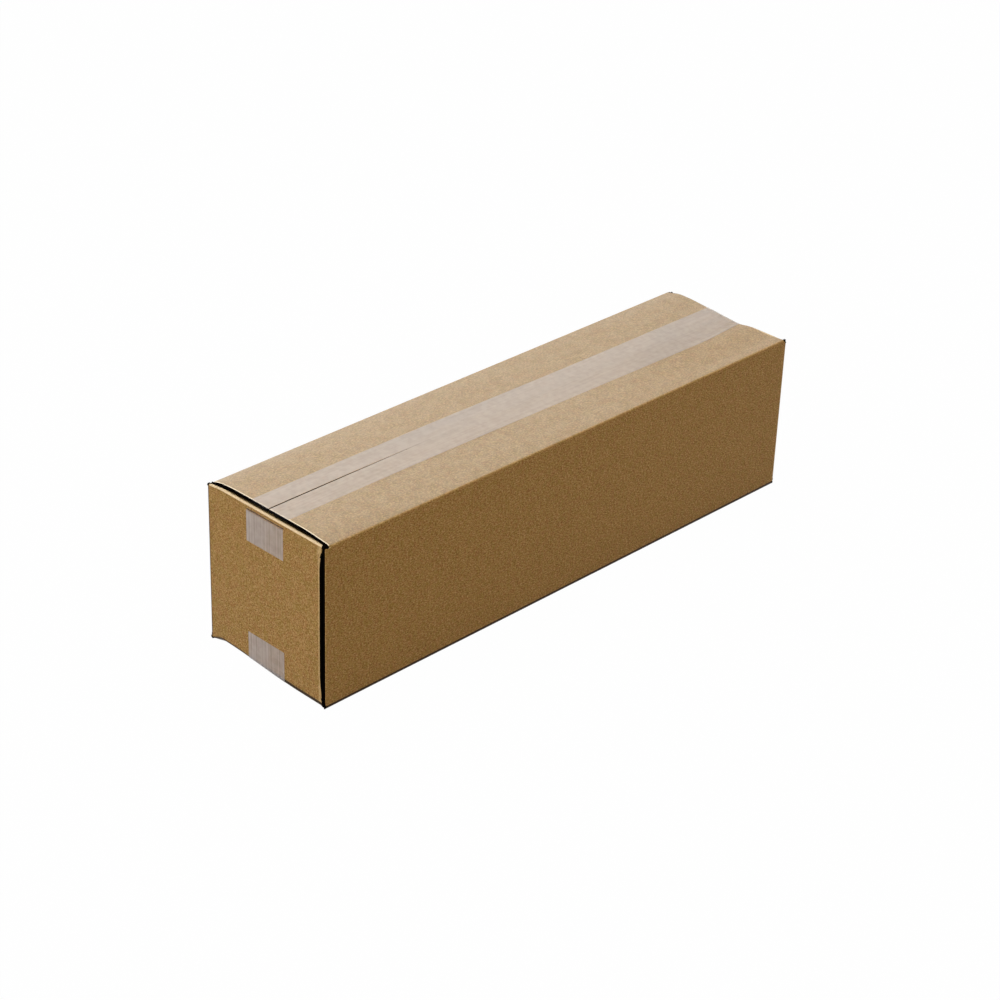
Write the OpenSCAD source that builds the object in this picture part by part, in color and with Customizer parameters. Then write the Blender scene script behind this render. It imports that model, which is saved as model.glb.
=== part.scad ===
// Long shipping box of single-wall corrugated board. One slotted blank is folded round and glued along an
// upright corner, and clear packing tape closes the seams of its long flaps, above and below.
// X runs along the box, Y across it and Z up. The origin is the middle of the underside.

/* [Box] */
// Length over the end panels
box_length = 606; // [420:1:800]
// Width over the side panels
box_width = 153; // [130:1:220]
// Height of the side panels over their folds
box_height = 162; // [120:1:260]
// How far the end panels' top folds stand above those of the side panels
end_rise = 1.4; // [0.6:0.1:3]

/* [Board] */
// Thickness of the corrugated board
board = 3; // [2:0.1:5]
// Thickness of each liner, inside and outside
liner = 0.3; // [0.2:0.05:0.5]
// Depth to which the flute at a cut edge stands open
flute_depth = 3; // [1.5:0.1:4]
// Inside radius of every fold
fold_inside = 0.6; // [0.3:0.1:1.5]
// Space between two flaps that lie on each other
layer_gap = 0.3; // [0.1:0.05:1]

/* [Flaps] */
// How much further than its fold each slot is cut into the blank
slot_reach = 0.4; // [0.2:0.1:3]
// Space between the two long flaps where they meet
seam_gap = 0.8; // [0.2:0.1:4]
// Distance from the side face at which a long top flap, sprung up from its fold, levels out
shoulder_width = 18.5; // [12:0.5:30]
// Height of the long top flaps above the side panels' folds at the far end, where they have settled
far_rise = 0.4; // [0.2:0.1:3]
// Reach of the end flaps into the box
end_flap_reach = 74; // [40:1:100]
// Distance of the top end folds' cut ends from the side faces
end_fold_inset = 2; // [1:0.1:6]

/* [Glued corner] */
// Reach of the glued tab behind the side panel
tab_width = 35; // [20:1:50]
// Length by which the tab narrows at each end
tab_taper = 12; // [4:1:25]
// Distance of the side panel's cut edge from the end face
joint_gap = 1; // [0.4:0.1:3]
// Thickness of the glue line
glue_gap = 0.1; // [0.05:0.05:0.3]
// Height of the flat ear that the end panel keeps above and below the tab
ear_height = 15; // [8:1:30]
// Height of the ear's upright edge
ear_land = 3; // [1:0.5:6]

/* [Tape] */
// Width of the tape
tape_width = 48; // [36:1:75]
// Thickness of the tape film
tape_thickness = 0.1; // [0.05:0.01:0.2]
// Thickness of the adhesive under the film
adhesive = 0.05; // [0.02:0.01:0.1]
// Length of the top tape's ends, down from the flaps' outer face
top_tail = 40; // [20:1:50]
// Length of the bottom tape's ends, up from the flaps' outer face
bottom_tail = 34; // [20:1:50]

/* [Hidden] */
$fn = 72;
flute_steps = 6;
arc_steps = 5;
sag_steps = 6;
kraft = [0.66, 0.52, 0.35];
clear_film = [0.80, 0.78, 0.74];

half_l = box_length / 2;
half_w = box_width / 2;
fold_outer = board + fold_inside;
slot = fold_outer + slot_reach;

// Levels of the folds' outer faces, from the underside upwards
side_low = tape_thickness + adhesive;
end_low = side_low + board + layer_gap;
side_top = side_low + box_height;
end_top = side_top + end_rise;
flap_top = end_top + layer_gap + board;

// Levels at which the upright panels pass into their folds
side_from = side_low + fold_outer;
side_to = side_top - fold_outer;
end_from = end_low + fold_outer;
end_to = end_top - fold_outer;

// The far end of the top lies lower by the same amount in its flaps, its end fold and its tape
near_rise = flap_top - side_top;
far_drop = near_rise - far_rise;
far_to = end_to - far_drop;

// A long top flap leaves its fold at an angle and levels out over a wide shoulder
long_flap_l = box_length - 2 * slot;
shoulder_y = half_w - shoulder_width;
sag_from = -half_l + end_flap_reach;
sag_length = box_length - 2 * end_flap_reach;

// The near top end fold passes over the side panels' corners, and the other end folds stop short of them.
// The top end flaps narrow to lie under the long flaps
end_fold_w = box_width - 2 * end_fold_inset;
end_flap_w = 2 * (shoulder_y - layer_gap);
low_flap_w = box_width - 2 * slot;

// The tab lies behind the front panel, and its fold ends at the two ears
tab_face = -half_w + board + glue_gap;
tab_fold = tab_face + fold_outer;
tab_from = end_from + ear_height;
tab_to = end_to - ear_height;
ear_edge = -half_w + board + layer_gap;

// Wall of the flute that a cut edge leaves open, from the inside liner across to the outside one
function open_flute() = [
    for (i = [0 : flute_steps])
        [
            liner + (board - 2 * liner) * (1 - cos(180 * i / flute_steps)) / 2,
            flute_depth * i / flute_steps
        ]
];

// Section of the board across its flutes: through the board from its inside face, then along its width
function strip(width, far_open = true) =
    let (wall = open_flute())
    concat(
        [[0, 0]],
        wall,
        [[board - liner, 0], [board, 0], [board, width]],
        far_open ? [[board - liner, width]] : [],
        far_open ? [for (i = [flute_steps : -1 : 0]) [wall[i][0], width - wall[i][1]]] : [],
        [[0, width]]
    );

function reversed(points) = [for (i = [len(points) - 1 : -1 : 0]) points[i]];
function mirrored(points) = [for (p = points) [-p[0], p[1]]];

// Board rolled about a fold along X; angles run from +Y towards +Z
module bend(width, inside, start, turn) {
    translate([-width / 2, 0, 0])
        rotate([90, 0, 90])
            rotate([0, 0, start])
                rotate_extrude(angle = turn)
                    translate([inside, 0])
                        polygon(strip(width));
}

// Flat part of a flap, lying along Y with its outside face up
module flat_flap(width, from, to, top) {
    translate([-width / 2, from, top - board])
        rotate([-90, -90, 0])
            linear_extrude(to - from)
                polygon(strip(width));
}

// Flap that folds through a right angle and then lies flat
module square_flap(fold_width, flap_width, reach, inner, top) {
    translate([0, reach - fold_outer, top - fold_outer])
        bend(fold_width, fold_inside, 0, 90);
    flat_flap(flap_width, inner, reach - fold_outer, top);
}

// How far the long top flaps have settled at a point along the box: not at all over the near end flap, and
// fully over the far one
function sag(x) = far_drop * (1 - cos(180 * min(1, max(0, (x - sag_from) / sag_length)))) / 2;
sag_stations = [for (i = [0 : sag_steps]) sag_from + sag_length * i / sag_steps];

// Outside face of a long top flap at a point along the box, in steps from the side panel to the seam. Each
// step is a point across the box and its outward direction
function flap_section(x) =
    let (
        rise = near_rise - sag(x),
        spring = 2 * atan(rise / (shoulder_width - fold_outer)),
        shoulder_r = (half_w - fold_outer + fold_outer * sin(spring) - shoulder_y) / sin(spring),
        fold = [for (i = [0 : arc_steps]) (90 - spring) * i / arc_steps],
        shoulder = [for (i = [1 : arc_steps]) 90 - spring + spring * i / arc_steps]
    )
    concat(
        [for (a = fold) [[half_w - fold_outer, side_to] + fold_outer * [cos(a), sin(a)], [cos(a), sin(a)]]],
        [for (a = shoulder) [
            [shoulder_y, side_top + rise - shoulder_r] + shoulder_r * [cos(a), sin(a)],
            [cos(a), sin(a)]
        ]],
        [[[seam_gap / 2, side_top + rise], [0, 1]]]
    );

// Long top flap of the front panel, sprung up over the end flaps: a net of points with the board's section
// across the flutes repeated at each step from the panel to the seam
module sprung_flap() {
    end = long_flap_l / 2;
    outside = concat([-end, -end + flute_depth], sag_stations, [end - flute_depth, end]);
    wall = open_flute();
    far_mouth = concat(
        [[end, liner], [end - flute_depth, liner]],
        [for (i = [flute_steps - 1 : -1 : 0]) [end - wall[i][1], board - wall[i][0]]]
    );
    near_mouth = concat(
        [for (i = [0 : flute_steps]) [-end + wall[i][1], board - wall[i][0]]],
        [[-end, liner]]
    );
    ring = concat(
        [for (x = outside) [x, 0]],
        far_mouth,
        [for (x = reversed(outside)) [x, board]],
        near_mouth
    );
    sections = [for (p = ring) flap_section(p[0])];
    steps = len(sections[0]);
    size = len(ring);
    net = [
        for (k = [0 : steps - 1])
            for (j = [0 : size - 1])
                let (face = sections[j][k][0] - ring[j][1] * sections[j][k][1])
                [ring[j][0], -face[0], face[1]]
    ];
    sides = [
        for (k = [0 : steps - 2])
            for (j = [0 : size - 1])
                let (a = k * size + j, b = k * size + (j + 1) % size)
                each [[a, a + size, b], [b, a + size, b + size]]
    ];
    // Places on the ring: the last outside point, the two roots of the open flutes, and the inside points
    last = len(outside) - 1;
    far_root = last + 2;
    near_root = size - 2;
    inside = [for (i = [0 : last]) size - len(near_mouth) - 1 - i];
    cap = concat(
        [[0, 1, near_root, size - 1]],
        [concat([inside[1], inside[0]], [for (i = [inside[0] + 1 : near_root]) i])],
        [[2, inside[2], inside[1], near_root, 1]],
        [for (i = [2 : last - 3]) [i, i + 1, inside[i + 1], inside[i]]],
        [[last - 2, last - 1, far_root, inside[last - 1], inside[last - 2]]],
        [concat([inside[last - 1]], [for (i = [far_root : inside[last]]) i])],
        [[last - 1, last, last + 1, far_root]]
    );
    seam = [for (f = cap) [for (i = [0 : len(f) - 1]) f[(len(f) - i) % len(f)] + (steps - 1) * size]];
    polyhedron(net, concat(cap, sides, seam));
}

// Upright corner where two panels are one piece of board
module corner_fold(x, y, from, to, start) {
    translate([x, y, from])
        rotate([0, 0, start])
            rotate_extrude(angle = 90)
                translate([fold_inside, 0])
                    square([board, to - from]);
}

module side_panels() {
    // Back panel, between two folded corners
    translate([-half_l + fold_outer, half_w - board, side_from])
        cube([box_length - 2 * fold_outer, board, side_to - side_from]);
    // Front panel, cut along the flutes at the glued corner
    translate([-half_l + joint_gap, -half_w + board, side_from])
        rotate([0, 0, -90])
            linear_extrude(side_to - side_from)
                polygon(strip(box_length - joint_gap - fold_outer, false));
    corner_fold(half_l - fold_outer, half_w - fold_outer, side_from, side_to, 0);
    corner_fold(-half_l + fold_outer, half_w - fold_outer, side_from, side_to, 90);
    corner_fold(half_l - fold_outer, -half_w + fold_outer, side_from, side_to, 270);
}

module end_panels() {
    translate([half_l - board, -half_w + fold_outer, end_from])
        cube([board, box_width - 2 * fold_outer, far_to - end_from]);
    translate([-half_l, tab_fold, end_from])
        cube([board, half_w - fold_outer - tab_fold, end_to - end_from]);
}

// The end panel's last few millimetres: folded in to carry the tab, flat in the two ears
module glued_corner() {
    corner_fold(-half_l + fold_outer, tab_fold, tab_from, tab_to, 180);
    translate([-half_l + fold_outer, tab_face + board, 0])
        rotate([90, 0, 0])
            linear_extrude(board)
                polygon([
                    [0, tab_from],
                    [tab_width - fold_outer, tab_from + tab_taper],
                    [tab_width - fold_outer, tab_to - tab_taper],
                    [0, tab_to]
                ]);
    translate([-half_l, 0, 0])
        rotate([90, 0, 90])
            linear_extrude(board)
                polygon([
                    [tab_fold, tab_to],
                    [tab_fold, end_to],
                    [ear_edge, end_to],
                    [ear_edge, end_to - ear_land]
                ]);
    translate([-half_l, 0, 0])
        rotate([90, 0, 90])
            linear_extrude(board)
                polygon([
                    [tab_fold, tab_from],
                    [ear_edge, end_from + ear_land],
                    [ear_edge, end_from],
                    [tab_fold, end_from]
                ]);
}

module top_flaps() {
    rotate([0, 0, 90])
        square_flap(end_fold_w, end_flap_w, half_l, half_l - end_flap_reach, end_top);
    rotate([0, 0, -90])
        square_flap(low_flap_w, end_flap_w, half_l, half_l - end_flap_reach, end_top - far_drop);
    sprung_flap();
    mirror([0, 1, 0])
        sprung_flap();
}

module bottom_flaps() {
    for (turn = [-90, 90])
        mirror([0, 0, 1])
            rotate([0, 0, turn])
                square_flap(low_flap_w, low_flap_w, half_l, half_l - end_flap_reach, -end_low);
    for (turn = [0, 180])
        mirror([0, 0, 1])
            rotate([0, 0, turn])
                square_flap(long_flap_l, long_flap_l, half_w, seam_gap / 2, -side_low);
}

// The whole blank, folded and glued: one piece of board
module folded_box() {
    color(kraft) {
        side_panels();
        end_panels();
        glued_corner();
        top_flaps();
        bottom_flaps();
    }
}

// One face of the tape at an end of the box, at a height above the flaps' outer face: up the end panel, past
// its fold and straight to the end of the long flaps
function tape_end(height, tail) =
    let (
        fold_x = half_l - fold_outer,
        fold_z = -layer_gap - board - fold_outer,
        edge_x = half_l - slot + adhesive - fold_x,
        edge_z = adhesive - fold_z,
        lean = atan2(edge_z, edge_x) - acos((fold_outer + adhesive) / norm([edge_x, edge_z])),
        reach = fold_outer + height
    )
    [
        [fold_x + reach, -tail],
        [fold_x + reach, fold_z + reach * tan(lean / 2)],
        [fold_x + (reach - (height - fold_z) * sin(lean)) / cos(lean), height]
    ];

// One whole face of the tape, from its near end to its far one, which may lie lower
function tape_face(height, tail, stations, drop) =
    concat(
        mirrored(tape_end(height, tail)),
        [for (x = stations) [x, height - sag(x)]],
        [for (p = reversed(tape_end(height, tail))) [p[0], p[1] - drop]]
    );

// Tape stretched over a seam and stuck down on both end panels
module tape(tail, stations, drop) {
    inner = tape_face(adhesive, tail, stations, drop);
    outer = tape_face(adhesive + tape_thickness, tail, stations, drop);
    color(clear_film)
        translate([0, tape_width / 2, 0])
            rotate([90, 0, 0])
                linear_extrude(tape_width)
                    polygon(concat(reversed(outer), inner));
}

module top_tape() {
    translate([0, 0, flap_top])
        tape(top_tail, sag_stations, far_drop);
}

module bottom_tape() {
    translate([0, 0, side_low])
        mirror([0, 0, 1])
            tape(bottom_tail, [], 0);
}

folded_box();
top_tape();
bottom_tape();
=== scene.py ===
import math

import bmesh
import bpy
from mathutils import Matrix, Vector


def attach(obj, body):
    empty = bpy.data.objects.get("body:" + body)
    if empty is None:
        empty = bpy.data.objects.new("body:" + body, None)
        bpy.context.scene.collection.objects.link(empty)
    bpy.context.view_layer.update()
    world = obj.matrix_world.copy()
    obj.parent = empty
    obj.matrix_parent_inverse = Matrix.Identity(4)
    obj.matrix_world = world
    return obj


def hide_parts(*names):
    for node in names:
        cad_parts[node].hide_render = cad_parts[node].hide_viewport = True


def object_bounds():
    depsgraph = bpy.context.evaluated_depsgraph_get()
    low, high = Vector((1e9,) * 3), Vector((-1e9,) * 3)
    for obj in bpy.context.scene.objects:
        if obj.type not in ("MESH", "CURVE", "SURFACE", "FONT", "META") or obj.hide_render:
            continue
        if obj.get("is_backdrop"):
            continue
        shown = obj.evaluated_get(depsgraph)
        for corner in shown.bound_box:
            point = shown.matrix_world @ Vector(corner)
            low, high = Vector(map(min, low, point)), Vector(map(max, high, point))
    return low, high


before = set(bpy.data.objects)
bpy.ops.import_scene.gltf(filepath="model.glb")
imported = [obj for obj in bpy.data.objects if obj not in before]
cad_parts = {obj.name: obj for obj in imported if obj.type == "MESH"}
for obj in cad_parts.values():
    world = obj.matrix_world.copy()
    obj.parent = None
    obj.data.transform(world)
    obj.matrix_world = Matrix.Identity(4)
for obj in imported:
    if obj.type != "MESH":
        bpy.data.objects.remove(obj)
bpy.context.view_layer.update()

# Viewpoint. The box is seen from above one end, with that end and the long front panel in view.
# The lens is a long one, so the far end is only a little smaller than the near end.
MM = 0.001
VIEW_TURN = math.radians(-46.07)
VIEW_RISE = math.radians(29.36)
VIEW_ROLL = math.radians(2.08)
VIEW_SHIFT = Vector((8.82, -54.41, -2419.98)) * MM
VIEW_NEAREST = 0.05
VIEW_FARTHEST = 50.0
LENS_MM = 91.23
SENSOR_MM = 36.0

view_back = Vector((
    math.sin(VIEW_TURN) * math.cos(VIEW_RISE),
    -math.cos(VIEW_TURN) * math.cos(VIEW_RISE),
    math.sin(VIEW_RISE),
))
level_right = Vector((math.cos(VIEW_TURN), math.sin(VIEW_TURN), 0.0))
level_up = view_back.cross(level_right)
view_right = level_right * math.cos(VIEW_ROLL) + level_up * math.sin(VIEW_ROLL)
view_up = level_up * math.cos(VIEW_ROLL) - level_right * math.sin(VIEW_ROLL)
view_axes = Matrix((view_right, view_up, view_back)).transposed()

camera_data = bpy.data.cameras.new("viewpoint")
camera_data.sensor_width = SENSOR_MM
camera_data.lens = LENS_MM
camera_data.clip_start = VIEW_NEAREST
camera_data.clip_end = VIEW_FARTHEST
camera_data.dof.use_dof = False
camera = bpy.data.objects.new("viewpoint", camera_data)
camera.matrix_world = Matrix.Translation(view_axes @ -VIEW_SHIFT) @ view_axes.to_4x4()
bpy.context.scene.collection.objects.link(camera)
bpy.context.scene.camera = camera
bpy.context.scene.view_settings.view_transform = "Standard"

# Folded box. One slotted sheet of corrugated board, brown kraft liners over a fluted medium, scored, folded
# round and glued to a tab behind the front panel. Its long top flaps have sprung up at the near end and are
# painted paler as a sheen; its creases and cut rims are paler, part wear and part painted highlight; its
# lower edges carry painted shade. Each cut along the flutes leaves one of them standing open, and the inside,
# the open flutes and the tab are painted near-black as shade.
BOX_LENGTH = 606 * MM
BOX_WIDTH = 153 * MM
FLUTE_PITCH = 6.6 * MM
SRGB_KNEE = 0.04045


def colour(red, green, blue):
    """A colour as a screen shows it, in 255ths, for a shader's socket."""
    channels = [c / 255 for c in (red, green, blue)]
    return [c / 12.92 if c <= SRGB_KNEE else ((c + 0.055) / 1.055) ** 2.4 for c in channels] + [1.0]


def feed(tree, target, value):
    """Fills a node's input with a value or with another node's output."""
    if isinstance(value, bpy.types.NodeSocket):
        tree.links.new(value, target)
    else:
        target.default_value = value


def place(tree, kind, inputs=None, **settings):
    """Adds a node, sets it up, and fills its inputs, which are named or numbered."""
    node = tree.nodes.new(kind)
    for key, value in settings.items():
        setattr(node, key, value)
    for key, value in (inputs or {}).items():
        if isinstance(key, int):
            target = node.inputs[key]
        else:
            target = next(s for s in node.inputs if s.name == key and s.enabled)
        feed(tree, target, value)
    return node


def sums(tree, operation, *values):
    """One step of arithmetic in a shader or shape tree."""
    return place(tree, "ShaderNodeMath", dict(enumerate(values)), operation=operation).outputs[0]


def blend(tree, share, first, second):
    """A colour part of the way from the first to the second."""
    node = place(tree, "ShaderNodeMix", data_type="RGBA")
    for target, value in zip([s for s in node.inputs if s.enabled], (share, first, second)):
        feed(tree, target, value)
    return next(s for s in node.outputs if s.enabled)


def ramp(tree, value, start, end, low=0.0, high=1.0, shape="SMOOTHSTEP"):
    """A value that runs from low to high as another goes from start to end."""
    inputs = {"Value": value, "From Min": start, "From Max": end, "To Min": low, "To Max": high}
    return place(tree, "ShaderNodeMapRange", inputs, interpolation_type=shape).outputs["Result"]


def noise(tree, spot, scale, detail, roughness=0.5):
    """An uneven value from 0 to 1, for mottling, grain and streaks."""
    inputs = {"Vector": spot, "Scale": scale, "Detail": detail, "Roughness": roughness}
    return place(tree, "ShaderNodeTexNoise", inputs).outputs[0]


def bump(tree, height, depth, strength):
    """Relief that is too fine to be shaped."""
    inputs = {"Strength": strength, "Distance": depth, "Height": height}
    return place(tree, "ShaderNodeBump", inputs).outputs[0]


def stored(tree, name, output="Fac"):
    """A value that the mesh carries for its material."""
    return place(tree, "ShaderNodeAttribute", attribute_name=name).outputs[output]


def new_material(name):
    """An empty material with its output, ready for a shader."""
    material = bpy.data.materials.new(name)
    material.use_nodes = True
    tree = material.node_tree
    tree.nodes.clear()
    return material, tree, tree.nodes.new("ShaderNodeOutputMaterial")


OLIVE_KRAFT = colour(155, 124, 60)
RUST_KRAFT = colour(168, 122, 70)
LIGHT_KRAFT = colour(176, 138, 76)
DARK_GRAIN = colour(118, 85, 39)
PALE_FIBRE = colour(194, 160, 102)
DARK_FLECK = colour(88, 62, 32)
PAINTED_SHEEN_KRAFT = colour(220, 214, 200)
WORN_AND_LIT_KRAFT = colour(218, 188, 134)
BARE_AND_LIT_FIBRE = colour(246, 232, 204)
SHADE_COLOUR = colour(30, 19, 12)
KRAFT_SHEEN = colour(150, 112, 60)

kraft, tree, output = new_material("kraft_liner")
spot = place(tree, "ShaderNodeTexCoord").outputs["Object"]
fold_at = stored(tree, "fold")
cloud = noise(tree, spot, 95.0, 3.0, 0.6)
grain = noise(tree, spot, 640.0, 4.0, 0.65)
apart = place(tree, "ShaderNodeMapping", {"Vector": spot, "Location": (3.1, 1.7, 2.3)}).outputs[0]
hue = noise(tree, apart, 170.0, 2.0)
drawn_out = place(tree, "ShaderNodeMapping", {"Vector": spot, "Scale": (0.5, 0.8, 1.0)}).outputs[0]
fibre = noise(tree, drawn_out, 900.0, 2.0)
fleck = place(tree, "ShaderNodeTexVoronoi", {"Vector": spot, "Scale": 300.0}).outputs["Distance"]
tone = blend(tree, ramp(tree, hue, 0.36, 0.64), OLIVE_KRAFT, RUST_KRAFT)
tone = blend(tree, ramp(tree, cloud, 0.36, 0.64, 0.05, 0.45), tone, LIGHT_KRAFT)
tone = blend(tree, ramp(tree, grain, 0.42, 0.62, 0.0, 0.8), tone, DARK_GRAIN)
tone = blend(tree, ramp(tree, fibre, 0.48, 0.68, 0.0, 0.85), tone, PALE_FIBRE)
tone = blend(tree, ramp(tree, fleck, 0.2, 0.06, 0.0, 0.8), tone, DARK_FLECK)
# Painted sheen: the long top flaps are blended towards pale grey, in place of the sheen that light gives the
# top.
painted_sheen = sums(tree, "MULTIPLY", stored(tree, "painted_sheen"), ramp(tree, cloud, 0.3, 0.7, 0.27, 0.33))
tone = blend(tree, painted_sheen, tone, PAINTED_SHEEN_KRAFT)
# Creases, corners and cut rims are paler: part wear, part painted highlight.
worn_and_lit = sums(tree, "MULTIPLY", sums(tree, "MAXIMUM", fold_at, 0.0), ramp(tree, grain, 0.3, 0.7, 0.75, 0.35))
tone = blend(tree, worn_and_lit, tone, WORN_AND_LIT_KRAFT)
# Paler still above 1: bare fibre and painted highlight on the end folds' crests and the flaps' near cut rims.
bare_and_lit = sums(tree, "MAXIMUM", sums(tree, "SUBTRACT", fold_at, 1.0), 0.0)
tone = blend(tree, bare_and_lit, tone, BARE_AND_LIT_FIBRE)
# Painted shade: near-black below 0, on the lower edges and creases, the near end's back edge and the far
# front corner's top.
painted_shade = sums(tree, "MAXIMUM", sums(tree, "MULTIPLY", fold_at, -0.9), 0.0)
tone = blend(tree, painted_shade, tone, SHADE_COLOUR)
washboard = sums(tree, "SINE", sums(tree, "MULTIPLY", stored(tree, "flute_run"), 2 * math.pi / FLUTE_PITCH))
relief = sums(tree, "ADD", sums(tree, "MULTIPLY", washboard, 0.35), sums(tree, "MULTIPLY", fibre, 0.5))
shader = place(tree, "ShaderNodeBsdfPrincipled", {
    "Base Color": tone,
    "Roughness": ramp(tree, grain, 0.3, 0.7, 0.36, 0.48),
    "Specular IOR Level": 0.12,
    "Specular Tint": KRAFT_SHEEN,
    "Normal": bump(tree, relief, 0.06 * MM, 0.35),
})
tree.links.new(shader.outputs[0], output.inputs["Surface"])


def shaded_paper(name, grain_scale, darker, lighter, roughness):
    """Paper inside the box or between the liners, painted dark as shade where little light comes."""
    material, tree, output = new_material(name)
    grain = noise(tree, place(tree, "ShaderNodeTexCoord").outputs["Object"], grain_scale, 4.0)
    shader = place(tree, "ShaderNodeBsdfPrincipled", {
        "Base Color": blend(tree, ramp(tree, grain, 0.3, 0.7), darker, lighter),
        "Roughness": roughness,
        "Specular IOR Level": 0.0,
    })
    tree.links.new(shader.outputs[0], output.inputs["Surface"])
    return material


# The inner liner is painted dark brown as shade.
inside = shaded_paper("inner_liner_painted_shade", 300.0, colour(40, 29, 19), colour(56, 41, 27), 0.8)
# The flute medium is painted near-black as shade in the open flutes.
medium = shaded_paper("flute_medium_painted_shade", 420.0, colour(9, 7, 6), colour(18, 13, 10), 0.9)

CELL = 6 * MM
SIDE_TOP = 162.15 * MM
SIDE_LOW = 0.15 * MM
END_TOP = 163.0 * MM
END_LOW = 2.6 * MM
FLAP_TOP = 166.85 * MM
FLAP_END = 299 * MM
FAR_DROP = 4.3 * MM
FAR_END_RISE = 0.6 * MM
SAG_FROM = -229 * MM
FAR_TILT = 0.039
TILT_PIVOT = 14 * MM
TILT_ALONG = (60 * MM, BOX_LENGTH / 2)
PINCH = 2.9 * MM
PINCH_ALONG = (200 * MM, FLAP_END)
PINCH_FRONT = -34 * MM
PINCH_LOW = -15 * MM
PINCH_BACK = 45 * MM
HEAVE = 5 * MM
HEAVE_ALONG = (-240 * MM, -FLAP_END)
HEAVE_ACROSS = (-45 * MM, 58 * MM)
HEAVE_LESS = 0.25
HEAVE_LESS_FROM = 60 * MM
END_HEAVE_FROM = 62 * MM
END_CORNER_LOWER = 1.8 * MM
END_CORNER_FROM = 58 * MM
BACK_LOWER_NEAR = 1.9 * MM
BACK_LOWER_FAR = 1.0 * MM


def smooth(value, start, end):
    """A share that eases from 0 at the start to 1 at the end."""
    share = min(1.0, max(0.0, (value - start) / (end - start)))
    return share * share * (3 - 2 * share)


def spaced(start, end, step=CELL):
    """Evenly spaced values from one to another, both included."""
    count = max(1, round(abs(end - start) / step))
    return [start + (end - start) * i / count for i in range(count + 1)]


def between_ends(x, near, far):
    """A size that changes evenly from the near end of the box to the far one."""
    return near + (far - near) * (x / BOX_LENGTH + 0.5)


def sag(x):
    """How far the long flaps lie below their near end at a point along the box."""
    share = min(1.0, max(0.0, (x - SAG_FROM) / (-2 * SAG_FROM)))
    return FAR_DROP * (1 - math.cos(math.pi * share)) / 2


def roll(x, y):
    """How far the flaps' far end has rolled towards the front."""
    return FAR_TILT * (y - TILT_PIVOT) * smooth(x, *TILT_ALONG)


def pinch(x, y):
    """How far the tape has pulled the flaps down at the far end."""
    slope = min(1.0, max(0.0, (PINCH_BACK - y) / (PINCH_BACK - PINCH_LOW)))
    across = min(smooth(y, PINCH_FRONT, PINCH_LOW), slope)
    return PINCH * across * smooth(x, *PINCH_ALONG)


def heave(x, y):
    """How far the near end of the bottom has bowed up off the floor beside the back panel."""
    across = smooth(y, *HEAVE_ACROSS) * (1 - HEAVE_LESS * smooth(y, HEAVE_LESS_FROM, BOX_WIDTH / 2))
    return HEAVE * across * smooth(x, *HEAVE_ALONG)


def end_heave(x, y):
    """The same for the end panel, which keeps its height at the corner."""
    return heave(x, y) * smooth(y, BOX_WIDTH / 2, END_HEAVE_FROM)


def top_crease(x, side):
    """The height of a long panel's top crease; the back panel's is a little lower."""
    return SIDE_TOP - between_ends(x, BACK_LOWER_NEAR, BACK_LOWER_FAR) * max(0.0, side)


def end_top(x, y):
    """The height of an end panel's top crease, lower at the far end and at the near end's back corner."""
    if x > 0:
        return END_TOP - FAR_DROP + FAR_END_RISE - pinch(x, y)
    return END_TOP - END_CORNER_LOWER * smooth(y, END_CORNER_FROM, BOX_WIDTH / 2)


CREASE_ROUND = 1.5 * MM
LOW_ROUND = 2.6 * MM
TOP_FACET = math.radians(14)
LOW_FACET = math.radians(11)
END_FACET = math.radians(15)
SEAM_NEAR = -1.3 * MM
SEAM_FAR = 1.3 * MM
SEAM_OPEN = 1.3 * MM
SEAM_SHUT = 0.5 * MM
SEAM_CLOSES = (-280 * MM, -90 * MM)
SPRING_BACK = 9.5 * MM
SPRING_MORE = 14 * MM
SPRING_ALONG = (-290 * MM, -100 * MM)
ROLL_EASES = (1 * MM, 19 * MM)
CREASE_CELLS = (0.8 * MM, 2 * MM, 4 * MM)
FLAP_CELLS_FROM = 7 * MM
FLAP_CELL = 4.5 * MM
LOW_CELLS_FROM = 2 * MM
END_FLAP = 74 * MM
END_FLAP_DIP = math.radians(26)

# How a place is marked: paler up to 1, part wear and part painted highlight, paler still above it, and
# painted shade below 0.
CREASED = 1.0
CREST_HIGHLIGHT = 1.35
RIM_BARE_AND_LIT = 2.0
CORNER_WORN = 0.7
SHADED = -1.0
EDGE_SHADED = -0.8


def long_flap(x, y, side):
    """The outside of a long top flap above one point of its panel: distance in, height and the crease's
    paleness, part wear and part painted highlight, in steps.
    """
    start = top_crease(x, side) - CREASE_ROUND
    opening = SEAM_OPEN + (SEAM_SHUT - SEAM_OPEN) * smooth(x, *SEAM_CLOSES)
    reach = BOX_WIDTH / 2 - side * between_ends(x, SEAM_NEAR, SEAM_FAR) - opening / 2
    spring = SPRING_BACK + SPRING_MORE * smooth(x, *SPRING_ALONG)
    lean = 0.0
    for _ in range(4):
        rise = FLAP_TOP - sag(x) - start - CREASE_ROUND * math.cos(lean)
        lean = math.atan(rise / spring)
    steps = [(0.0, start, 0.0)]
    for turn in spaced(0.0, math.pi / 2 - lean, TOP_FACET)[1:]:
        steps.append((CREASE_ROUND * (1 - math.cos(turn)), start + CREASE_ROUND * math.sin(turn), CREASED))
    inner, level, _ = steps[-1]
    for q in [inner + cell for cell in CREASE_CELLS] + spaced(inner + FLAP_CELLS_FROM, reach, FLAP_CELL):
        y = side * (BOX_WIDTH / 2 - q)
        tilt = roll(x, y) * smooth(q, *ROLL_EASES) - pinch(x, y)
        steps.append((q, level + rise * (1 - math.exp((inner - q) / spring)) + tilt, 0.0))
    return steps


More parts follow.
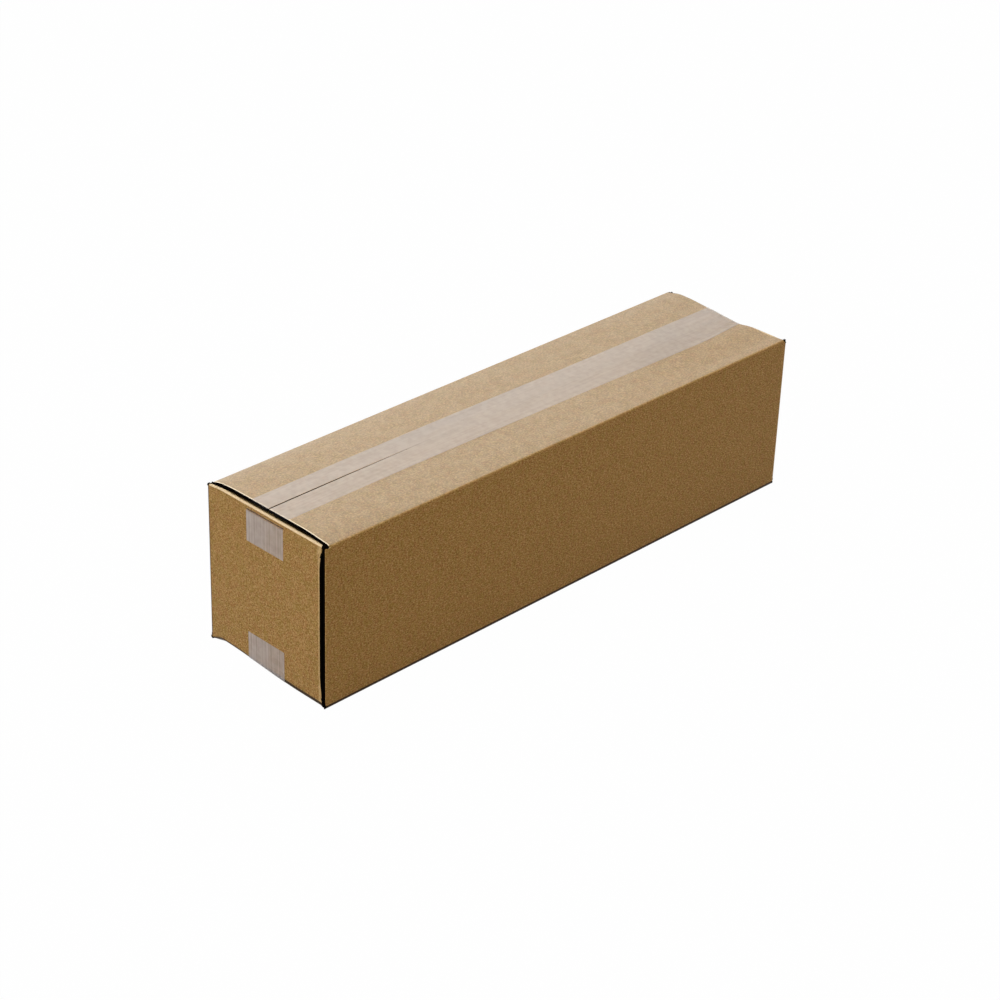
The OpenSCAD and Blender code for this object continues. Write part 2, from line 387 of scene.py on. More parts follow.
def low_flap(x, y, side):
    """The outside of a long bottom flap below one point of its panel."""
    start = SIDE_LOW + LOW_ROUND + heave(x, y)
    steps = []
    # Painted shade on the crease where it turns under towards the floor.
    for turn in spaced(0.0, math.pi / 2, LOW_FACET):
        steps.append((LOW_ROUND * (1 - math.cos(turn)), start - LOW_ROUND * math.sin(turn), SHADED))
    for q in spaced(LOW_ROUND + LOW_CELLS_FROM, BOX_WIDTH / 2 - SEAM_OPEN / 2):
        steps.append((q, SIDE_LOW + heave(x, y - side * q), 0.0))
    return steps


def end_flap(crease, up, dip, first_marking, marking):
    """The outside of an end flap, which leaves its crease level or dips into the box."""
    start = crease - up * CREASE_ROUND
    steps = [(0.0, start, first_marking)]
    for turn in spaced(0.0, math.pi / 2 + dip, END_FACET)[1:]:
        z = start + up * CREASE_ROUND * math.sin(turn)
        steps.append((CREASE_ROUND * (1 - math.cos(turn)), z, marking))
    inner, level, _ = steps[-1]
    for run in spaced(0.0, END_FLAP)[1:]:
        steps.append((inner + run * math.cos(dip), level - run * math.sin(dip), 0.0))
    return steps


def top_end_flap(x, y, side):
    """The outside of a top end flap, with a painted highlight on its fold's crest."""
    return end_flap(end_top(x, y), 1, END_FLAP_DIP, 0.0, CREST_HIGHLIGHT)


def low_end_flap(x, y, side):
    """The outside of a bottom end flap, with painted shade on its fold next to the floor."""
    return end_flap(END_LOW + end_heave(x, y), -1, 0.0, SHADED, SHADED)


JOINT_CUT = -301.4 * MM
TAB_FOLD = -69.1 * MM
TAB_WIDTH = 31 * MM
TAB_FROM = 8 * MM
TAB_TO = 152 * MM
TAB_FACET = math.radians(18)
TAB_CELL = 0.2 * MM
EAR_STEP = 1.2 * MM
EAR_REACH = 2.6 * MM
EAR_FROM = 138 * MM
EAR_TO = 36 * MM
EAR_BREADTH = 14 * MM
CREASE_CRUSHED = 0.42

board = bmesh.new()
crease_layer = board.verts.layers.float.new("fold")
run_layer = board.verts.layers.float.new("flute_run")
sheen_layer = board.verts.layers.float.new("painted_sheen")
thickness_layer = board.verts.layers.deform.verify()


def ear(z):
    """How far the near end panel's joint edge stands out above and below its folded tab."""
    step = 0.0 if TAB_FROM < z < TAB_TO else EAR_STEP
    return step + EAR_REACH * max(smooth(z, EAR_FROM, END_TOP), smooth(z, EAR_TO, 0.0))


def point(at, crease, run, pale_edge=0.0, painted_sheen=0.0, shown=1.0):
    """One point of the sheet's outside, with its place across the flutes, its marking (paleness from wear and
    painted highlight, or painted shade) and its painted sheen.

    The board is crushed thinner at a crease, and shown is how much of that crease is seen as paleness, part
    wear and part painted highlight."""
    vert = board.verts.new(at)
    vert[crease_layer] = crease * shown or pale_edge
    vert[run_layer] = run
    vert[sheen_layer] = painted_sheen
    vert[thickness_layer][0] = 1.0 + (CREASE_CRUSHED - 1.0) * min(1.0, abs(crease))
    return vert


def fill(rows):
    """Faces between rows of points, each row above the last and running round the box."""
    for low, high in zip(rows, rows[1:]):
        for i in range(len(low) - 1):
            board.faces.new((low[i], low[i + 1], high[i + 1], high[i]))


CORNER_ROUND = 2.2 * MM
FAR_CORNER_ROUND = 3.8 * MM
CORNER_CELLS = 5
RIM_STRIP = 1.0 * MM
EDGE_SHADE_WIDTH = 0.8 * MM
HAIR = 0.1 * MM

half_l, half_w = BOX_LENGTH / 2, BOX_WIDTH / 2
inner_end = FLAP_END - 1.5 * RIM_STRIP
bend_y = half_w - CORNER_ROUND
turns = [math.radians(90 * i / CORNER_CELLS) for i in range(1, CORNER_CELLS)]
outline = [("front", x, -half_w, 0, -1) for x in (
    [JOINT_CUT, -FLAP_END, RIM_STRIP - FLAP_END] + spaced(-inner_end, inner_end)
    + [FLAP_END - RIM_STRIP, FLAP_END, half_l - FAR_CORNER_ROUND])]
for name, corner_x, corner_y, first in (("far", 1, -1, -90), ("back", 1, 1, 0), ("near", -1, 1, 90)):
    radius = FAR_CORNER_ROUND if name == "far" else CORNER_ROUND
    for turn in turns:
        nx, ny = math.cos(math.radians(first) + turn), math.sin(math.radians(first) + turn)
        x = corner_x * (half_l - radius) + radius * nx
        y = corner_y * (half_w - radius) + radius * ny
        outline.append(("corner", x, y, nx, ny))
    if name == "far":
        outline += [("far", half_l, y, 1, 0) for y in spaced(FAR_CORNER_ROUND - half_w, bend_y)]
    if name == "back":
        outline += [("back", x, half_w, 0, 1) for x in (
            [half_l - CORNER_ROUND, FLAP_END, FLAP_END - RIM_STRIP] + spaced(inner_end, -inner_end)
            + [RIM_STRIP - FLAP_END, -FLAP_END, CORNER_ROUND - half_l])]
    if name == "near":
        margin = [TAB_FOLD + TAB_CELL * k * k for k in (7, 5, 3.5, 2, 1, 0)]
        outline += [("near", -half_l, y, -1, 0) for y in (
            [bend_y] + spaced(bend_y - EDGE_SHADE_WIDTH, margin[0] + CELL) + margin)]

WALL_CELL = 1 / 30
WALL_FROM = 0.3 * MM
WALL_SHORT = 0.4 * MM
LOW_SHADE = 0.9 * MM
LOW_SHADE_ACROSS = (30 * MM, -20 * MM)

walls = []
low_shade = LOW_SHADE / SIDE_TOP
for share in [0.0, low_shade, 1.5 * low_shade] + spaced(WALL_CELL, 1.0, WALL_CELL):
    row = []
    for name, x, y, nx, ny in outline:
        on_end = abs(nx)
        low = SIDE_LOW + LOW_ROUND + WALL_FROM + on_end * (END_LOW - SIDE_LOW)
        low += heave(x, y) if name == "back" else end_heave(x, y)
        high = on_end * end_top(x, y) + (1 - on_end) * top_crease(x, ny) - CREASE_ROUND - WALL_SHORT
        z = low + (high - low) * share
        if name == "near":
            y -= ear(z) * smooth(y, TAB_FOLD + EAR_BREADTH, TAB_FOLD)
        # Corners are paler with wear; painted shade goes on the near end's back edge, the far front corner's
        # top and the bottom band of the front and near end.
        marking = CORNER_WORN if name == "corner" else 0.0
        if x < 0 and y > bend_y - HAIR and name in ("corner", "near"):
            marking = EDGE_SHADED
        if marking and x > 0 and ny < 0 and share == 1.0:
            marking = SHADED
        if share < 1.2 * low_shade and name == "front":
            marking = SHADED
        if share < 1.2 * low_shade and name == "near":
            marking = SHADED * smooth(y, *LOW_SHADE_ACROSS)
        # A painted highlight runs down the near end's joint fold.
        pale_edge = CREASED if name == "near" and y < TAB_FOLD + 3 * HAIR else 0.0
        row.append(point((x, y, z), marking, y if on_end > 0.7 else x, pale_edge))
    walls.append(row)
fill(walls)

END_FLAP_NARROW = 0.25
NARROWS_OVER = (1.2 * MM, 9 * MM)
FLAP_TAPER = 1.8 * MM
TAPERS_OVER = (12 * MM, 0.0)
# The painted sheen spreads in from the top creases and is weaker on the front flap towards the far end.
SHEEN_SPREADS_OVER = (0.3 * MM, 2 * MM)
FRONT_SHEEN_LESS = 0.22
SHEEN_LESS_ALONG = (0.0, 250 * MM)
TOP_CREASE_SHOWN = 0.3


def flap(name, wall, up, path, narrow=0.0):
    """A flap that carries on from its panel's edge, along a path for each point of that edge."""
    flap_end = FLAP_END + HAIR / 10
    picked = [
        i for i, (side, x, _, _, ny) in enumerate(outline) if side == name and abs(x * ny) <= flap_end]
    rows = [[wall[i] for i in picked]]
    paths = [path(outline[i][1], outline[i][2], outline[i][4]) for i in picked]
    for k in range(max(len(steps) for steps in paths)):
        row = []
        for i, steps in zip(picked, paths):
            _, x, y, nx, ny = outline[i]
            q, z, crease = steps[min(k, len(steps) - 1)]
            along = wall[i].co.y if nx else x
            across = along * (1.0 - narrow * smooth(q, *NARROWS_OVER)) if nx else y - ny * q
            taper, pale_edge, painted_sheen, shown = 0.0, 0.0, 0.0, 1.0
            if up and ny:
                at_end = smooth(abs(x), inner_end - 2 * HAIR, inner_end)
                taper = math.copysign(FLAP_TAPER * at_end * smooth(q, *TAPERS_OVER), x)
                # The flaps' near cut rims are paler, part bare fibre and part painted highlight.
                pale_edge = RIM_BARE_AND_LIT if x < -inner_end - HAIR else 0.0
                # Painted sheen on the top flaps, weaker on the front flap towards the far end.
                painted_sheen = smooth(q, *SHEEN_SPREADS_OVER)
                painted_sheen *= 1.0 - FRONT_SHEEN_LESS * smooth(x, *SHEEN_LESS_ALONG) if ny < 0 else 1.0
                shown = TOP_CREASE_SHOWN
            row.append(point((x - nx * q - taper, across, z), crease, along, pale_edge, painted_sheen, shown))
        rows.append(row)
    fill(rows if up else rows[::-1])


flap("front", walls[-1], True, long_flap)
flap("back", walls[-1], True, long_flap)
flap("front", walls[0], False, low_flap)
flap("back", walls[0], False, low_flap)
flap("near", walls[-1], True, top_end_flap, END_FLAP_NARROW)
flap("far", walls[-1], True, top_end_flap, END_FLAP_NARROW)
flap("near", walls[0], False, low_end_flap, END_FLAP_NARROW)
flap("far", walls[0], False, low_end_flap, END_FLAP_NARROW)

tab = []
for row in walls:
    edge = row[-1].co
    if not TAB_FROM < edge.z < TAB_TO:
        continue
    beside = [row[-1]]
    for turn in spaced(0.0, math.pi / 2, TAB_FACET)[1:]:
        x = edge.x + CREASE_ROUND * (1 - math.cos(turn))
        beside.append(point((x, edge.y - CREASE_ROUND * math.sin(turn), edge.z), CREASED, x))
    for x in spaced(edge.x + CREASE_ROUND, edge.x + TAB_WIDTH)[1:]:
        beside.append(point((x, edge.y - CREASE_ROUND, edge.z), 0.0, x))
    tab.append(beside)
fill(tab)

BOARD = 3 * MM
LINER = 1.0 * MM
FLUTE_OPEN = 2.5 * MM
FLUTE_DRAFT = 0.05 * MM
MERGED = 0.002 * MM
SHARP = math.radians(32)
END_STRIP = 3 * MM
TAB_SHADE = 4 * MM
OUTER, INNER, CUT = range(3)

bmesh.ops.remove_doubles(board, verts=board.verts, dist=MERGED)
for face in board.faces:
    face.smooth = True
sheet = bpy.data.meshes.new("box_sheet")
board.to_mesh(sheet)
board.free()
for material in (kraft, inside, medium):
    sheet.materials.append(material)

box = bpy.data.objects.new("corrugated_box", sheet)
bpy.context.scene.collection.objects.link(box)
box.vertex_groups.new(name="board")
thick = box.modifiers.new("board", "SOLIDIFY")
thick.thickness = BOARD
thick.offset = -1.0
thick.vertex_group = "board"
thick.material_offset = INNER
thick.material_offset_rim = CUT
solid = bpy.data.meshes.new_from_object(box.evaluated_get(bpy.context.evaluated_depsgraph_get()))
box.modifiers.clear()
box.vertex_groups.clear()

# A cut edge is rimmed by its two liners, and the flutes between them stand open, painted near-black as shade.
board = bmesh.new()
board.from_mesh(solid)
cut_faces = [face for face in board.faces if face.material_index == CUT]
bmesh.ops.inset_region(board, faces=cut_faces, thickness=LINER, use_even_offset=True, use_boundary=True)
opened = set(cut_faces)
for face in board.faces:
    at = face.calc_center_median()
    # Cut faces keep the near-black painted shade beside the inside, in the top seam and at the flaps' near
    # end; the others turn kraft.
    if face.material_index == CUT and face not in opened:
        beside = {f.material_index for e in face.edges for f in e.link_faces}
        in_seam = abs(at.y) < half_w / 4 and abs(at.x) < FLAP_END - END_STRIP
        near_end = at.z > SIDE_TOP and at.x < END_STRIP - FLAP_END
        if not (INNER in beside or in_seam or near_end):
            face.material_index = OUTER
    # The tab's outside, seen in the joint gap behind the front panel, is given the near-black medium as
    # painted shade.
    behind_front = BOARD - half_w < at.y < TAB_FOLD - 6 * HAIR and at.z < TAB_TO + TAB_SHADE
    on_tab = behind_front and 3 * HAIR < at.x + half_l < TAB_WIDTH + BOARD
    if face.material_index == OUTER and on_tab and abs(face.normal.x) < 0.8:
        face.material_index = CUT
board.normal_update()
bmesh.ops.inset_region(board, faces=cut_faces, thickness=FLUTE_DRAFT, depth=-FLUTE_OPEN, use_boundary=True)
for vert in board.verts:
    vert.co.x = min(half_l, max(-half_l, vert.co.x))
    vert.co.y = min(half_w, max(-half_w, vert.co.y))
board.to_mesh(solid)
board.free()
solid.set_sharp_from_angle(angle=SHARP)
box.data = solid
solid.name = "corrugated_box"
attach(box, "root")
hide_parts("folded_box")

# Tapes. Clear packing tape, pressed down along the seam of the long flaps at the top and at the bottom, and
# turned down on both end panels. It is a thin hazy film, streaked where it was rubbed on, with more haze on
# top as a painted sheen and a painted shadow line on the near end panel below its fold. It bridges the
# step from the flaps' ends to the end folds, and the top one is puckered at its far end.
TAPE_WIDTH = 48 * MM
TAPE_THICKNESS = 0.1 * MM
ADHESIVE = 0.05 * MM
TOP_TAIL = 40 * MM
BOTTOM_TAIL = 34 * MM
HAZY_FILM = colour(198, 193, 190)
BRIGHT_FILM = colour(206, 201, 198)
FILM_SHADOW_LINE = colour(84, 56, 34)
RUBBING_AND_SHEEN_SPAN = (END_TOP, END_TOP - 8 * MM)
BACK_HALF = (-10 * MM, 10 * MM)
SHADOW_LINE_LOW = (END_TOP - 5.4 * MM, END_TOP - 4.7 * MM)
SHADOW_LINE_HIGH = (END_TOP - 3.4 * MM, END_TOP - 4.1 * MM)
SHADOW_LINE_COVER = 0.45
SEAM_SIDES = (0.95 * MM, 0.6 * MM)
SEAM_SHOWS = (-90 * MM, -230 * MM)

film, tree, output = new_material("clear_film")
spot = place(tree, "ShaderNodeTexCoord").outputs["Object"]
along = stored(tree, "tape_run", "Vector")
streak_spot = place(tree, "ShaderNodeMapping", {"Vector": along, "Scale": (9.0, 420.0, 1.0)}).outputs[0]
streak = noise(tree, streak_spot, 1.0, 3.0)
haze = noise(tree, spot, 160.0, 3.0)
stuck = stored(tree, "stuck")
where = place(tree, "ShaderNodeSeparateXYZ", {0: spot}).outputs
# Streaks are strongest on the end panels; on top the film is given more haze, a painted sheen.
rubbing_and_sheen = ramp(tree, where[2], *RUBBING_AND_SHEEN_SPAN, 0.35, 1.0)
streaks = sums(tree, "MULTIPLY", ramp(tree, streak, 0.3, 0.7, -0.04, 0.13), rubbing_and_sheen)
cover = sums(tree, "MULTIPLY_ADD", rubbing_and_sheen, -0.07, 0.43)
cover = sums(tree, "ADD", cover, ramp(tree, haze, 0.3, 0.7, 0.07, 0.11))
cover = sums(tree, "ADD", cover, streaks)
cover = sums(tree, "ADD", cover, ramp(tree, where[1], *BACK_HALF, -0.01, 0.05))
seam_slant, seam_middle = (SEAM_FAR - SEAM_NEAR) / BOX_LENGTH, (SEAM_FAR + SEAM_NEAR) / 2
seam_at = sums(tree, "MULTIPLY_ADD", where[0], seam_slant, seam_middle)
off_seam = sums(tree, "ABSOLUTE", sums(tree, "SUBTRACT", where[1], seam_at))
over_gap = sums(tree, "MULTIPLY", ramp(tree, off_seam, *SEAM_SIDES), ramp(tree, where[0], *SEAM_SHOWS))
over_gap = sums(tree, "MULTIPLY", over_gap, ramp(tree, where[2], END_TOP, END_TOP + 1 * MM))
over_gap = sums(tree, "MULTIPLY", over_gap, stuck)
cover = sums(tree, "MULTIPLY", cover, sums(tree, "SUBTRACT", stuck, over_gap))
# A painted shadow line: a dark band on the near end panel just below its top fold.
shadow_line = sums(tree, "MULTIPLY", ramp(tree, where[2], *SHADOW_LINE_LOW), ramp(tree, where[2], *SHADOW_LINE_HIGH))
shadow_line = sums(tree, "MULTIPLY", shadow_line, sums(tree, "LESS_THAN", where[0], -FLAP_END - 1 * MM))
cover = sums(tree, "MULTIPLY_ADD", shadow_line, SHADOW_LINE_COVER, cover)
for_shadow = place(tree, "ShaderNodeLightPath").outputs["Is Shadow Ray"]
cover = sums(tree, "MULTIPLY", cover, sums(tree, "SUBTRACT", 1.0, for_shadow))
clear = blend(tree, ramp(tree, haze, 0.3, 0.7), HAZY_FILM, BRIGHT_FILM)
shader = place(tree, "ShaderNodeBsdfPrincipled", {
    "Base Color": blend(tree, shadow_line, clear, FILM_SHADOW_LINE),
    "Roughness": ramp(tree, streak, 0.3, 0.7, 0.3, 0.42),
    "Specular IOR Level": 0.05,
    "Alpha": cover,
    "Normal": bump(tree, streak, 0.03 * MM, 0.4),
})
tree.links.new(shader.outputs[0], output.inputs["Surface"])

TAPE_CUTS = 15
DRIFTS_UP = (END_TOP - 6 * MM, END_TOP)
FOLLOWS_UP = (END_TOP - 16 * MM, END_TOP - 8 * MM)
HEAVES_DOWN = (30 * MM, 6 * MM)
BRIDGE_UP = (END_TOP - 5.8 * MM, END_TOP - 4 * MM)
BRIDGE_CLEAR = 0.99
PUCKER_ALONG = (230 * MM, 310 * MM)
WRINKLES_ALONG = (190 * MM, 285 * MM)
WRINKLES_RAISE = 0.6


def shape_tree(name, sizes):
    """An empty shape tree whose inputs are the geometry, the named sizes and what else the list holds."""
    tree = bpy.data.node_groups.new(name, "GeometryNodeTree")
    tree.interface.new_socket("Geometry", in_out="INPUT", socket_type="NodeSocketGeometry")
    for label, kind in sizes:
        tree.interface.new_socket(label, in_out="INPUT", socket_type="NodeSocket" + kind)
    tree.interface.new_socket("Geometry", in_out="OUTPUT", socket_type="NodeSocketGeometry")
    return tree, tree.nodes.new("NodeGroupInput").outputs, tree.nodes.new("NodeGroupOutput").inputs


def keep(tree, geometry, name, value, kind="FLOAT", domain="POINT"):
    """Stores a value on the mesh, for a later step or a material to read."""
    inputs = {"Geometry": geometry, "Name": name, "Value": value}
    return place(tree, "GeometryNodeStoreNamedAttribute", inputs, data_type=kind, domain=domain).outputs[0]


def kept(tree, name, kind):
    """A value that an earlier step has stored."""
    return place(tree, "GeometryNodeInputNamedAttribute", {"Name": name}, data_type=kind).outputs[0]


def vectors(tree, operation, first, second):
    """One step of arithmetic on two vectors."""
    return place(tree, "ShaderNodeVectorMath", {0: first, 1: second}, operation=operation).outputs


stretched_tape, given, result = shape_tree("stretched_tape", [
    ("Width", "Float"), ("Thickness", "Float"),
    ("Far Tilt", "Float"), ("Far Pinch", "Float"), ("Far Pucker", "Float"), ("Near Heave", "Float"),
    ("Drift Near", "Float"), ("Drift Far", "Float"), ("Wrinkle", "Float"), ("Film", "Material"),
])
tree = stretched_tape
path = place(tree, "GeometryNodeMeshToCurve", {"Mesh": given["Geometry"]}).outputs[0]
path = keep(tree, path, "run", place(tree, "GeometryNodeSplineParameter").outputs["Length"])
path = keep(tree, path, "inward", place(tree, "GeometryNodeInputNormal").outputs[0], "FLOAT_VECTOR")
section = place(tree, "GeometryNodeCurvePrimitiveQuadrilateral", {
    "Width": given["Thickness"], "Height": given["Width"],
}).outputs[0]
section = place(tree, "GeometryNodeSubdivideCurve", {"Curve": section, "Cuts": TAPE_CUTS}).outputs[0]
ribbon = place(tree, "GeometryNodeCurveToMesh", {
    "Curve": path, "Profile Curve": section, "Fill Caps": True,
}).outputs[0]
position = place(tree, "GeometryNodeInputPosition").outputs[0]
parts = place(tree, "ShaderNodeSeparateXYZ", {0: position}).outputs
on_tape = place(tree, "ShaderNodeCombineXYZ", {0: kept(tree, "run", "FLOAT"), 1: parts[1]}).outputs[0]
ribbon = keep(tree, ribbon, "tape_run", on_tape, "FLOAT_VECTOR")

drift = ramp(tree, parts[0], -FLAP_END, FLAP_END, given["Drift Near"], given["Drift Far"], "LINEAR")
from_back = sums(tree, "SUBTRACT", 0.5, sums(tree, "DIVIDE", parts[1], given["Width"]))
pulled = sums(tree, "MULTIPLY", from_back, ramp(tree, parts[0], *PUCKER_ALONG))
pulled = sums(tree, "MULTIPLY", pulled, given["Far Pucker"])
sideways = sums(tree, "MULTIPLY_ADD", drift, ramp(tree, parts[2], *DRIFTS_UP), pulled)
across = sums(tree, "ADD", parts[1], sideways)
tilted = sums(tree, "MULTIPLY", sums(tree, "SUBTRACT", across, TILT_PIVOT), given["Far Tilt"])
tilted = sums(tree, "MULTIPLY", tilted, ramp(tree, parts[0], *TILT_ALONG))
slope = ramp(tree, across, PINCH_BACK, PINCH_LOW, shape="LINEAR")
valley = sums(tree, "MINIMUM", ramp(tree, across, PINCH_FRONT, PINCH_LOW), slope)
raised = sums(tree, "MULTIPLY", given["Wrinkle"], WRINKLES_RAISE)
valley = sums(tree, "SUBTRACT", sums(tree, "MULTIPLY", valley, given["Far Pinch"]), raised)
valley = sums(tree, "MULTIPLY", valley, ramp(tree, parts[0], *PINCH_ALONG))
lowered = sums(tree, "SUBTRACT", tilted, valley)
bowed = sums(tree, "MULTIPLY", ramp(tree, parts[1], *HEAVE_ACROSS), ramp(tree, parts[0], *HEAVE_ALONG))
bowed = sums(tree, "MULTIPLY", bowed, ramp(tree, parts[2], *HEAVES_DOWN))
bowed = sums(tree, "MULTIPLY", bowed, given["Near Heave"])
upward = sums(tree, "MULTIPLY_ADD", lowered, ramp(tree, parts[2], *FOLLOWS_UP), bowed)
offset = place(tree, "ShaderNodeCombineXYZ", {1: sideways, 2: upward}).outputs[0]

inward = kept(tree, "inward", "FLOAT_VECTOR")
facing = place(tree, "GeometryNodeInputNormal").outputs[0]
outer = sums(tree, "LESS_THAN", vectors(tree, "DOT_PRODUCT", facing, inward)["Value"], -0.5)
past_end = sums(tree, "GREATER_THAN", sums(tree, "ABSOLUTE", parts[0]), FLAP_END + 2 * HAIR)
bridge = sums(tree, "MULTIPLY", past_end, ramp(tree, parts[2], *BRIDGE_UP))
bridge = sums(tree, "SUBTRACT", 1.0, sums(tree, "MULTIPLY", bridge, BRIDGE_CLEAR))
ribbon = keep(tree, ribbon, "stuck", sums(tree, "MULTIPLY", outer, bridge), domain="CORNER")

creases = noise(tree, vectors(tree, "MULTIPLY", on_tape, (25.0, 260.0, 1.0))[0], 1.0, 2.0)
puckered = sums(tree, "LESS_THAN", parts[0], FLAP_END)
puckered = sums(tree, "MULTIPLY", ramp(tree, parts[0], *WRINKLES_ALONG), puckered)
lift = sums(tree, "MULTIPLY", puckered, given["Wrinkle"])
lift = sums(tree, "MULTIPLY", ramp(tree, creases, 0.5, 0.75), lift)
lift = place(tree, "ShaderNodeVectorMath", {
    0: inward, "Scale": sums(tree, "MULTIPLY", lift, -1.0),
}, operation="SCALE").outputs[0]
offset = vectors(tree, "ADD", offset, lift)[0]
ribbon = place(tree, "GeometryNodeSetPosition", {"Geometry": ribbon, "Offset": offset}).outputs[0]
ribbon = place(tree, "GeometryNodeRealizeInstances", {"Geometry": ribbon}).outputs[0]
ribbon = place(tree, "GeometryNodeSetMaterial", {"Geometry": ribbon, "Material": given["Film"]}).outputs[0]
tree.links.new(ribbon, result["Geometry"])

TAPE_CELL = 3 * MM
SAG_CELL = 12 * MM
BEND_SHARE = 0.06


def tape_end(edge, fold_top, tail):
    """The film's middle at one end: up the end panel, past the end fold and on to the flaps' end."""
    reach = CREASE_ROUND + ADHESIVE + TAPE_THICKNESS / 2
    fold_x, fold_z = BOX_LENGTH / 2 - CREASE_ROUND, fold_top - CREASE_ROUND
    edge_x = FLAP_END - fold_x + ADHESIVE
    edge_z = edge + ADHESIVE - fold_z
    lean = math.atan2(edge_z, edge_x) - math.acos((CREASE_ROUND + ADHESIVE) / math.hypot(edge_x, edge_z))
    level = edge + ADHESIVE + TAPE_THICKNESS / 2
    foot = fold_x + reach, fold_z + reach * math.tan(lean / 2)
    corner = fold_x + (reach - (level - fold_z) * math.sin(lean)) / math.cos(lean), level
    return [
        (fold_x + reach, edge - tail),
        foot,
        tuple(c + BEND_SHARE * (f - c) for f, c in zip(foot, corner)),
        corner,
    ]


def tape_path(name, corners):
    """A chain of edges through the film's corners, with a point every few millimetres."""
    points = []
    for (x0, z0), (x1, z1) in zip(corners, corners[1:]):
        steps = max(1, round(math.hypot(x1 - x0, z1 - z0) / TAPE_CELL))
        points += [(x0 + (x1 - x0) * i / steps, 0.0, z0 + (z1 - z0) * i / steps) for i in range(steps)]
    points.append((corners[-1][0], 0.0, corners[-1][1]))
    mesh = bpy.data.meshes.new(name)
    mesh.from_pydata(points, [(i, i + 1) for i in range(len(points) - 1)], [])
    return mesh


def dressed(name, mesh, tree, sizes):
    """A piece whose mesh is what a shape tree makes of a path, as a plain mesh with no modifier."""
    piece = bpy.data.objects.new(name, mesh)
    bpy.context.scene.collection.objects.link(piece)
    step = piece.modifiers.new(tree.name, "NODES")
    step.node_group = tree
    for item in tree.interface.items_tree:
        if item.in_out == "INPUT" and item.name in sizes:
            step[item.identifier] = sizes[item.name]
    made = bpy.data.meshes.new_from_object(piece.evaluated_get(bpy.context.evaluated_depsgraph_get()))
    piece.modifiers.clear()
    made.set_sharp_from_angle(angle=SHARP)
    piece.data = made
    made.name = name
    return piece


near = tape_end(FLAP_TOP, END_TOP, TOP_TAIL)
far = tape_end(FLAP_TOP - FAR_DROP, END_TOP - FAR_DROP + FAR_END_RISE, TOP_TAIL)
stations = spaced(SAG_FROM, -SAG_FROM, SAG_CELL)
corners = [(-x, z) for x, z in near] + [(x, near[-1][1] - sag(x)) for x in stations] + far[::-1]
top_strip = dressed("top_seam_tape", tape_path("top_tape_path", corners), stretched_tape, {
    "Width": TAPE_WIDTH, "Thickness": TAPE_THICKNESS,
    "Far Tilt": FAR_TILT, "Far Pinch": PINCH, "Far Pucker": 6.6 * MM, "Near Heave": 0.0,
    "Drift Near": -3.0 * MM, "Drift Far": -0.8 * MM, "Wrinkle": 0.35 * MM, "Film": film,
})
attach(top_strip, "root")
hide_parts("top_tape")

under = [(x, -z) for x, z in tape_end(-SIDE_LOW, -END_LOW, BOTTOM_TAIL)]
corners = [(-x, z) for x, z in under] + under[::-1]
bottom_strip = dressed("bottom_seam_tape", tape_path("bottom_tape_path", corners), stretched_tape, {
    "Width": TAPE_WIDTH, "Thickness": TAPE_THICKNESS,
    "Far Tilt": 0.0, "Far Pinch": 0.0, "Far Pucker": 0.0, "Near Heave": HEAVE,
    "Drift Near": 0.0, "Drift Far": 0.0, "Wrinkle": 0.0, "Film": film,
})
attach(bottom_strip, "root")
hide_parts("bottom_tape")

# Floor. A plain pale studio floor that the box stands on, matte grey to the light that falls on it.
# It is white to the eye and in reflections, and keeps a faint shadow of the box.
FLOOR_HALF = 6.0
FLOOR_LEVEL = -0.02 * MM
FLOOR_WHITENED = 0.99
FLOOR_GREY = (0.45, 0.45, 0.45, 1.0)
WHITE = (1.0, 1.0, 1.0, 1.0)
floor_corners = [
    (x * FLOOR_HALF, y * FLOOR_HALF, FLOOR_LEVEL) for x, y in ((-1, -1), (1, -1), (1, 1), (-1, 1))]
floor_mesh = bpy.data.meshes.new("floor")
floor_mesh.from_pydata(floor_corners, [], [(0, 1, 2, 3)])
floor = bpy.data.objects.new("floor", floor_mesh)
bpy.context.scene.collection.objects.link(floor)
floor_white, tree, output = new_material("floor_white")
seen = place(tree, "ShaderNodeLightPath").outputs
matte = place(tree, "ShaderNodeBsdfDiffuse", {"Color": FLOOR_GREY}).outputs[0]
white = place(tree, "ShaderNodeEmission", {"Color": WHITE, "Strength": 1.0}).outputs[0]
share = sums(tree, "MAXIMUM", seen["Is Camera Ray"], seen["Is Glossy Ray"])
share = sums(tree, "MULTIPLY", share, FLOOR_WHITENED)
mixed = place(tree, "ShaderNodeMixShader", {0: share, 1: matte, 2: white}).outputs[0]
tree.links.new(mixed, output.inputs["Surface"])
floor_mesh.materials.append(floor_white)
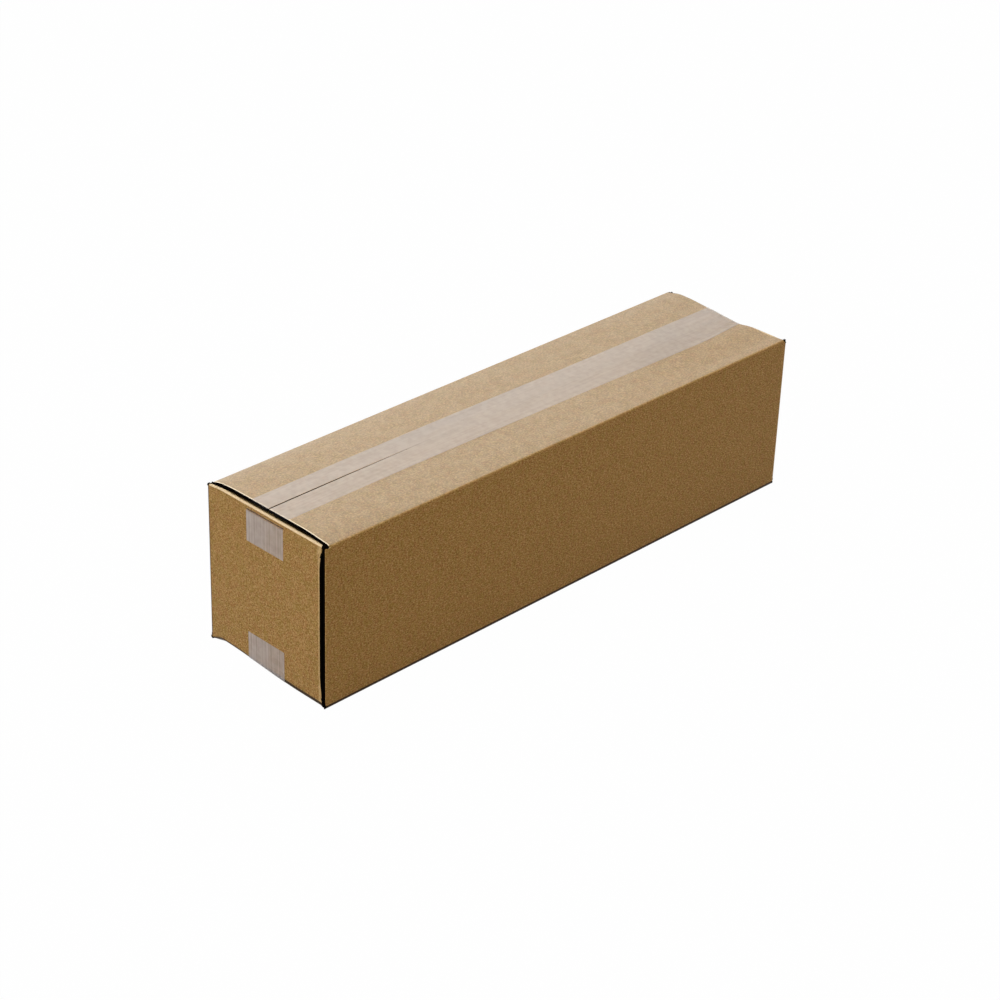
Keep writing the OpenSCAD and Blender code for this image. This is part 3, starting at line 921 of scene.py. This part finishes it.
floor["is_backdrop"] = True

# Light. Soft warm studio light from low down all round, and a large lamp overhead that makes the top pale.
# A cool lamp stands beside the near end, and a weak one behind the far end. Beyond them the eye sees white.
SKY_WARM = (1.0, 0.905, 0.85, 1.0)
SKY_FADES = (0.05, 0.7)
SKY_STRENGTH = 1.51
LIT_POINT = (0.0, 0.0, 0.1)
world = bpy.data.worlds.new("studio")
bpy.context.scene.world = world
world.use_nodes = True
tree = world.node_tree
tree.nodes.clear()
output = tree.nodes.new("ShaderNodeOutputWorld")
seen = place(tree, "ShaderNodeLightPath").outputs
direct = sums(tree, "MAXIMUM", seen["Is Glossy Ray"], seen["Is Transmission Ray"])
direct = sums(tree, "MAXIMUM", seen["Is Camera Ray"], direct)
towards = place(tree, "ShaderNodeTexCoord").outputs["Generated"]
rise = place(tree, "ShaderNodeSeparateXYZ", {0: towards}).outputs[2]
sky = place(tree, "ShaderNodeBackground", {
    "Color": SKY_WARM, "Strength": ramp(tree, rise, *SKY_FADES, SKY_STRENGTH, 0.0),
}).outputs[0]
white = place(tree, "ShaderNodeBackground", {"Color": WHITE, "Strength": 1.0}).outputs[0]
mixed = place(tree, "ShaderNodeMixShader", {0: direct, 1: sky, 2: white}).outputs[0]
tree.links.new(mixed, output.inputs["Surface"])


def softbox(name, at, size, power, tint):
    """A square studio lamp, turned to the middle of the box."""
    lamp = bpy.data.lights.new(name, "AREA")
    lamp.shape = "SQUARE"
    lamp.size = size
    lamp.energy = power
    lamp.color = tint
    holder = bpy.data.objects.new(name, lamp)
    holder.location = at
    holder.rotation_euler = (Vector(LIT_POINT) - Vector(at)).to_track_quat("-Z", "Y").to_euler()
    bpy.context.scene.collection.objects.link(holder)


softbox("back_lamp", (2.15, 1.6, 2.15), 3.4, 13.0, (0.96, 1.0, 1.0))
softbox("top_lamp", (-0.2, 0.3, 2.4), 1.4, 38.5, (1.0, 0.98, 0.95))
softbox("end_lamp", (-2.4, 0.7, 1.2), 1.5, 17.0, (0.94, 1.0, 1.14))

low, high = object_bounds()
